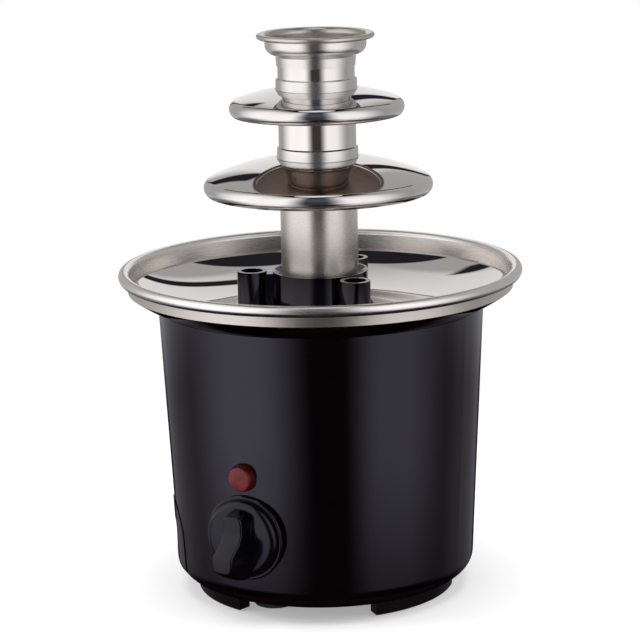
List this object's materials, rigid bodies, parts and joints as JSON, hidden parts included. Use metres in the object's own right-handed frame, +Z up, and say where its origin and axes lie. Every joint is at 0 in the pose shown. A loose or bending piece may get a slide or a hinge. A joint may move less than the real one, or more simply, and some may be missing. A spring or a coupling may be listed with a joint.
{
  "type": "chocolate fountain",
  "caption": "Table-top chocolate fountain: tapered black housing with a turn knob and lamp, a heated steel bowl, and a lift-off tower of tubes, domes and a crown round a motor-driven screw.",
  "frame": {"origin": "on the table, under the middle of the tower", "axes": "+Z up along the tower, -Y towards the knob"},
  "size_m": [0.165, 0.165, 0.2295],
  "materials": {
    "housing_gloss": "glossy moulded black",
    "base_black": "satin moulded brownish black",
    "foot_rubber": "matte rubber",
    "plate_steel": "zinc-plated sheet",
    "bowl_steel": "brushed wall and polished dish",
    "gasket_silicone": "matte silicone",
    "stud_steel": "turned",
    "heater_sheath": "heat-tinted sheath",
    "heater_aluminium": "rolled",
    "ceramic_cream": "unglazed ceramic",
    "fuse_tan": "lacquered",
    "cast_zinc": "die-cast",
    "motor_steel": "drawn can",
    "bush_polymer": "natural polymer",
    "seal_rubber": "lip seal",
    "switch_black": "moulded",
    "lamp_red": "translucent red",
    "lamp_holder": "moulded",
    "plate_gloss": "glossy moulded black",
    "gland_rubber": "moulded rubber",
    "auger_polymer": "food-safe moulded",
    "knob_black": "satin moulded black",
    "hub_gloss": "glossy moulded black",
    "tube_steel": "fine satin",
    "dome_steel": "mirror polished",
    "crown_steel": "fine satin",
    "fastener_steel": "bright zinc-plated"
  },
  "bodies": {
    "base": {"housing": "housing_gloss", "base_cover": "base_black", "rubber_feet": "foot_rubber", "cover_screws": "fastener_steel", "tie_rods": "fastener_steel", "rod_nuts": "fastener_steel", "chassis_plate": "plate_steel", "chassis_spacers": "fastener_steel", "chassis_nuts": "fastener_steel", "bowl": "bowl_steel", "bowl_gasket": "gasket_silicone", "bowl_nuts": "fastener_steel", "locating_studs": "stud_steel", "heater_ring": "heater_sheath", "heater_plate": "heater_aluminium", "thermostat": "ceramic_cream", "thermal_fuse": "fuse_tan", "gearbox_case": "cast_zinc", "motor_can": "motor_steel", "motor_screws": "fastener_steel", "shaft_bush": "bush_polymer", "bush_nut": "fastener_steel", "shaft_seal": "seal_rubber", "switch_body": "switch_black", "switch_nut": "fastener_steel", "lamp_lens": "lamp_red", "lamp_body": "lamp_holder", "lamp_clip": "fastener_steel", "cord_plate": "plate_gloss", "cord_gland": "gland_rubber", "terminal_block": "ceramic_cream"},
    "drive": {"drive_shaft": "stud_steel"},
    "auger": {"auger": "auger_polymer"},
    "knob": {"knob": "knob_black", "switch_shaft": "fastener_steel"},
    "tower": {"tower_hub": "hub_gloss", "lower_tube": "tube_steel"},
    "tier": {"lower_tier": "dome_steel", "middle_tube": "tube_steel"},
    "top": {"upper_tier": "dome_steel", "upper_tube": "tube_steel", "crown": "crown_steel"}
  },
  "joints": [
    {"name": "drive_spin", "type": "hinge", "parent": "base", "child": "drive", "pos_m": [0, 0, 0.1], "axis": [0, 0, 1], "continuous": true},
    {"name": "auger_lift", "type": "slide", "parent": "drive", "child": "auger", "axis": [0, 0, 1], "range_m": [0, 0.13]},
    {"name": "knob_turn", "type": "hinge", "parent": "base", "child": "knob", "pos_m": [0, -0.063, 0.036], "axis": [0, 1, 0], "range_deg": [0, 120]},
    {"name": "tower_lift", "type": "slide", "parent": "base", "child": "tower", "axis": [0, 0, 1], "range_m": [0, 0.13]},
    {"name": "tier_lift", "type": "slide", "parent": "tower", "child": "tier", "axis": [0, 0, 1], "range_m": [0, 0.05]},
    {"name": "crown_lift", "type": "slide", "parent": "tier", "child": "top", "axis": [0, 0, 1], "range_m": [0, 0.05]}
  ]
}
